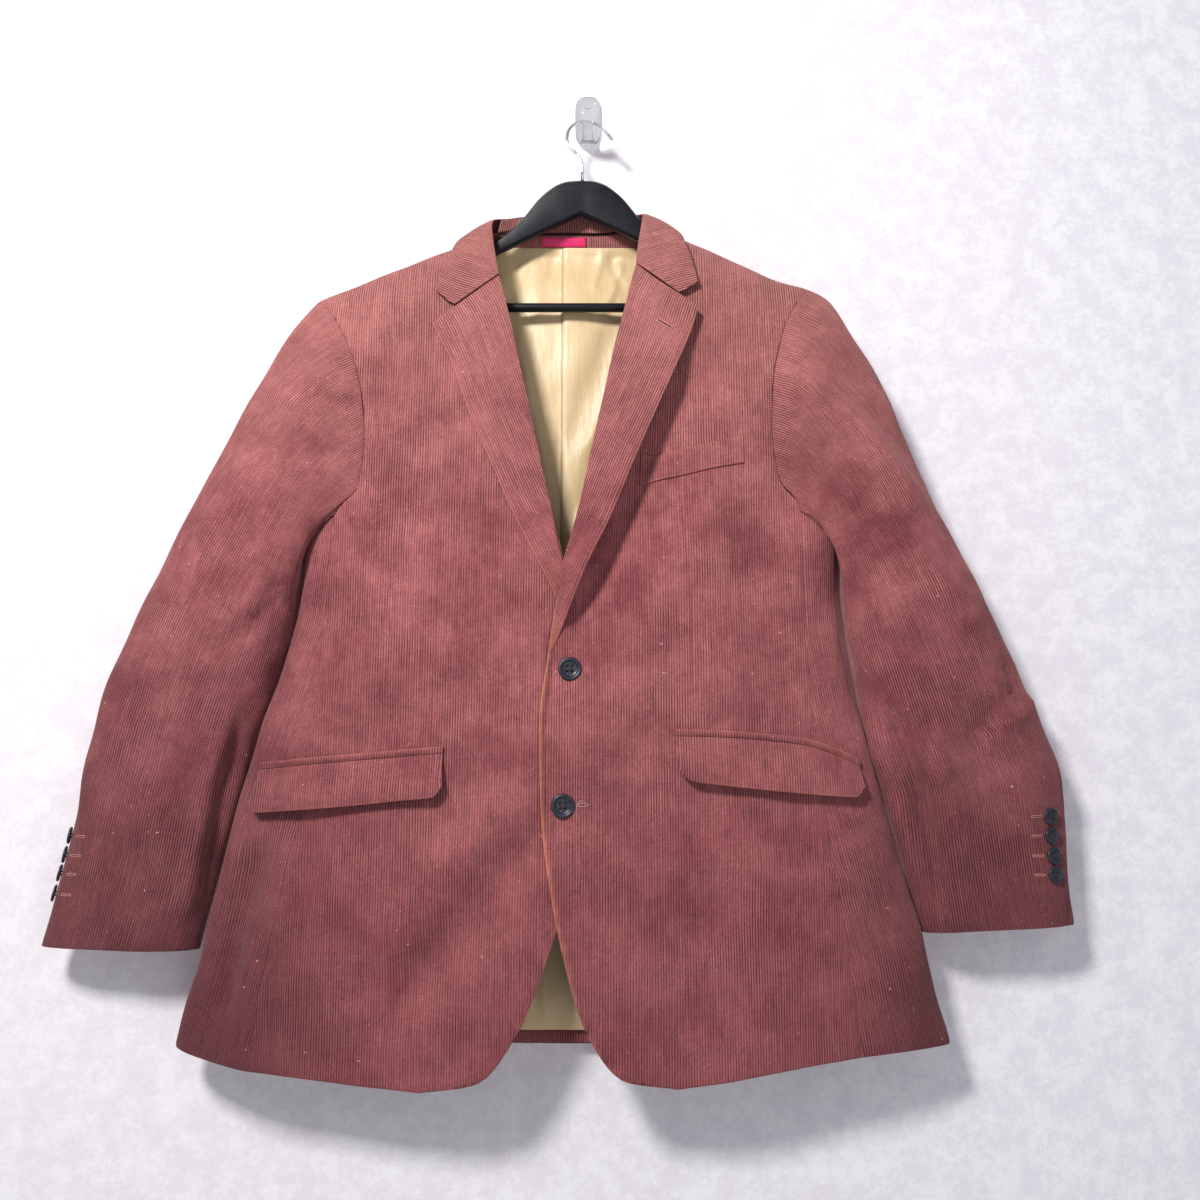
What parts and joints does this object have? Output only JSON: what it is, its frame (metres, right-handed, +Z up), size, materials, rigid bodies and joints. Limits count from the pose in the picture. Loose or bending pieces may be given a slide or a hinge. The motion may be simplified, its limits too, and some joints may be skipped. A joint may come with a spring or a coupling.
{
  "type": "corduroy jacket on a hanger and wall hook",
  "caption": "Tailored corduroy jacket with notch lapels and flap pockets, hanging closed on a dark hanger from a clear stick-on wall hook.",
  "frame": {"origin": "middle of the wall hook's flat back, on the wall", "axes": "+X to the viewer's right, +Y into the wall, +Z up; the jacket hangs in front of the wall at negative Y"},
  "size_m": [0.9018, 0.0955, 0.928],
  "materials": {
    "corduroy": "ribbed pile, about eleven ribs to the inch",
    "lining_satin": "smooth satin sheen",
    "label_cloth": "woven, bare",
    "button_dark": "polished, four holes",
    "hanger_black": "black satin lacquer",
    "chrome": "bright",
    "clear_plastic": "clear"
  },
  "bodies": {
    "root": {"right_front": "corduroy", "left_front": "corduroy", "right_side_panel": "corduroy", "left_side_panel": "corduroy", "right_back": "corduroy", "left_back": "corduroy", "right_top_sleeve": "corduroy", "right_under_sleeve": "corduroy", "left_top_sleeve": "corduroy", "left_under_sleeve": "corduroy", "right_lapel": "corduroy", "left_lapel": "corduroy", "collar": "corduroy", "collar_stand": "corduroy", "neck_facing": "corduroy", "hem_facing": "corduroy", "breast_welt": "corduroy", "right_pocket_flap": "corduroy", "left_pocket_flap": "corduroy", "right_pocket_jet": "corduroy", "left_pocket_jet": "corduroy", "back_lining": "lining_satin", "label": "label_cloth", "upper_front_button": "button_dark", "lower_front_button": "button_dark", "right_cuff_button_1": "button_dark", "right_cuff_button_2": "button_dark", "right_cuff_button_3": "button_dark", "right_cuff_button_4": "button_dark", "left_cuff_button_1": "button_dark", "left_cuff_button_2": "button_dark", "left_cuff_button_3": "button_dark", "left_cuff_button_4": "button_dark", "hanger_wood": "hanger_black", "trouser_bar": "hanger_black", "hanger_hook": "chrome", "wall_hook": "clear_plastic"}
  },
  "joints": []
}
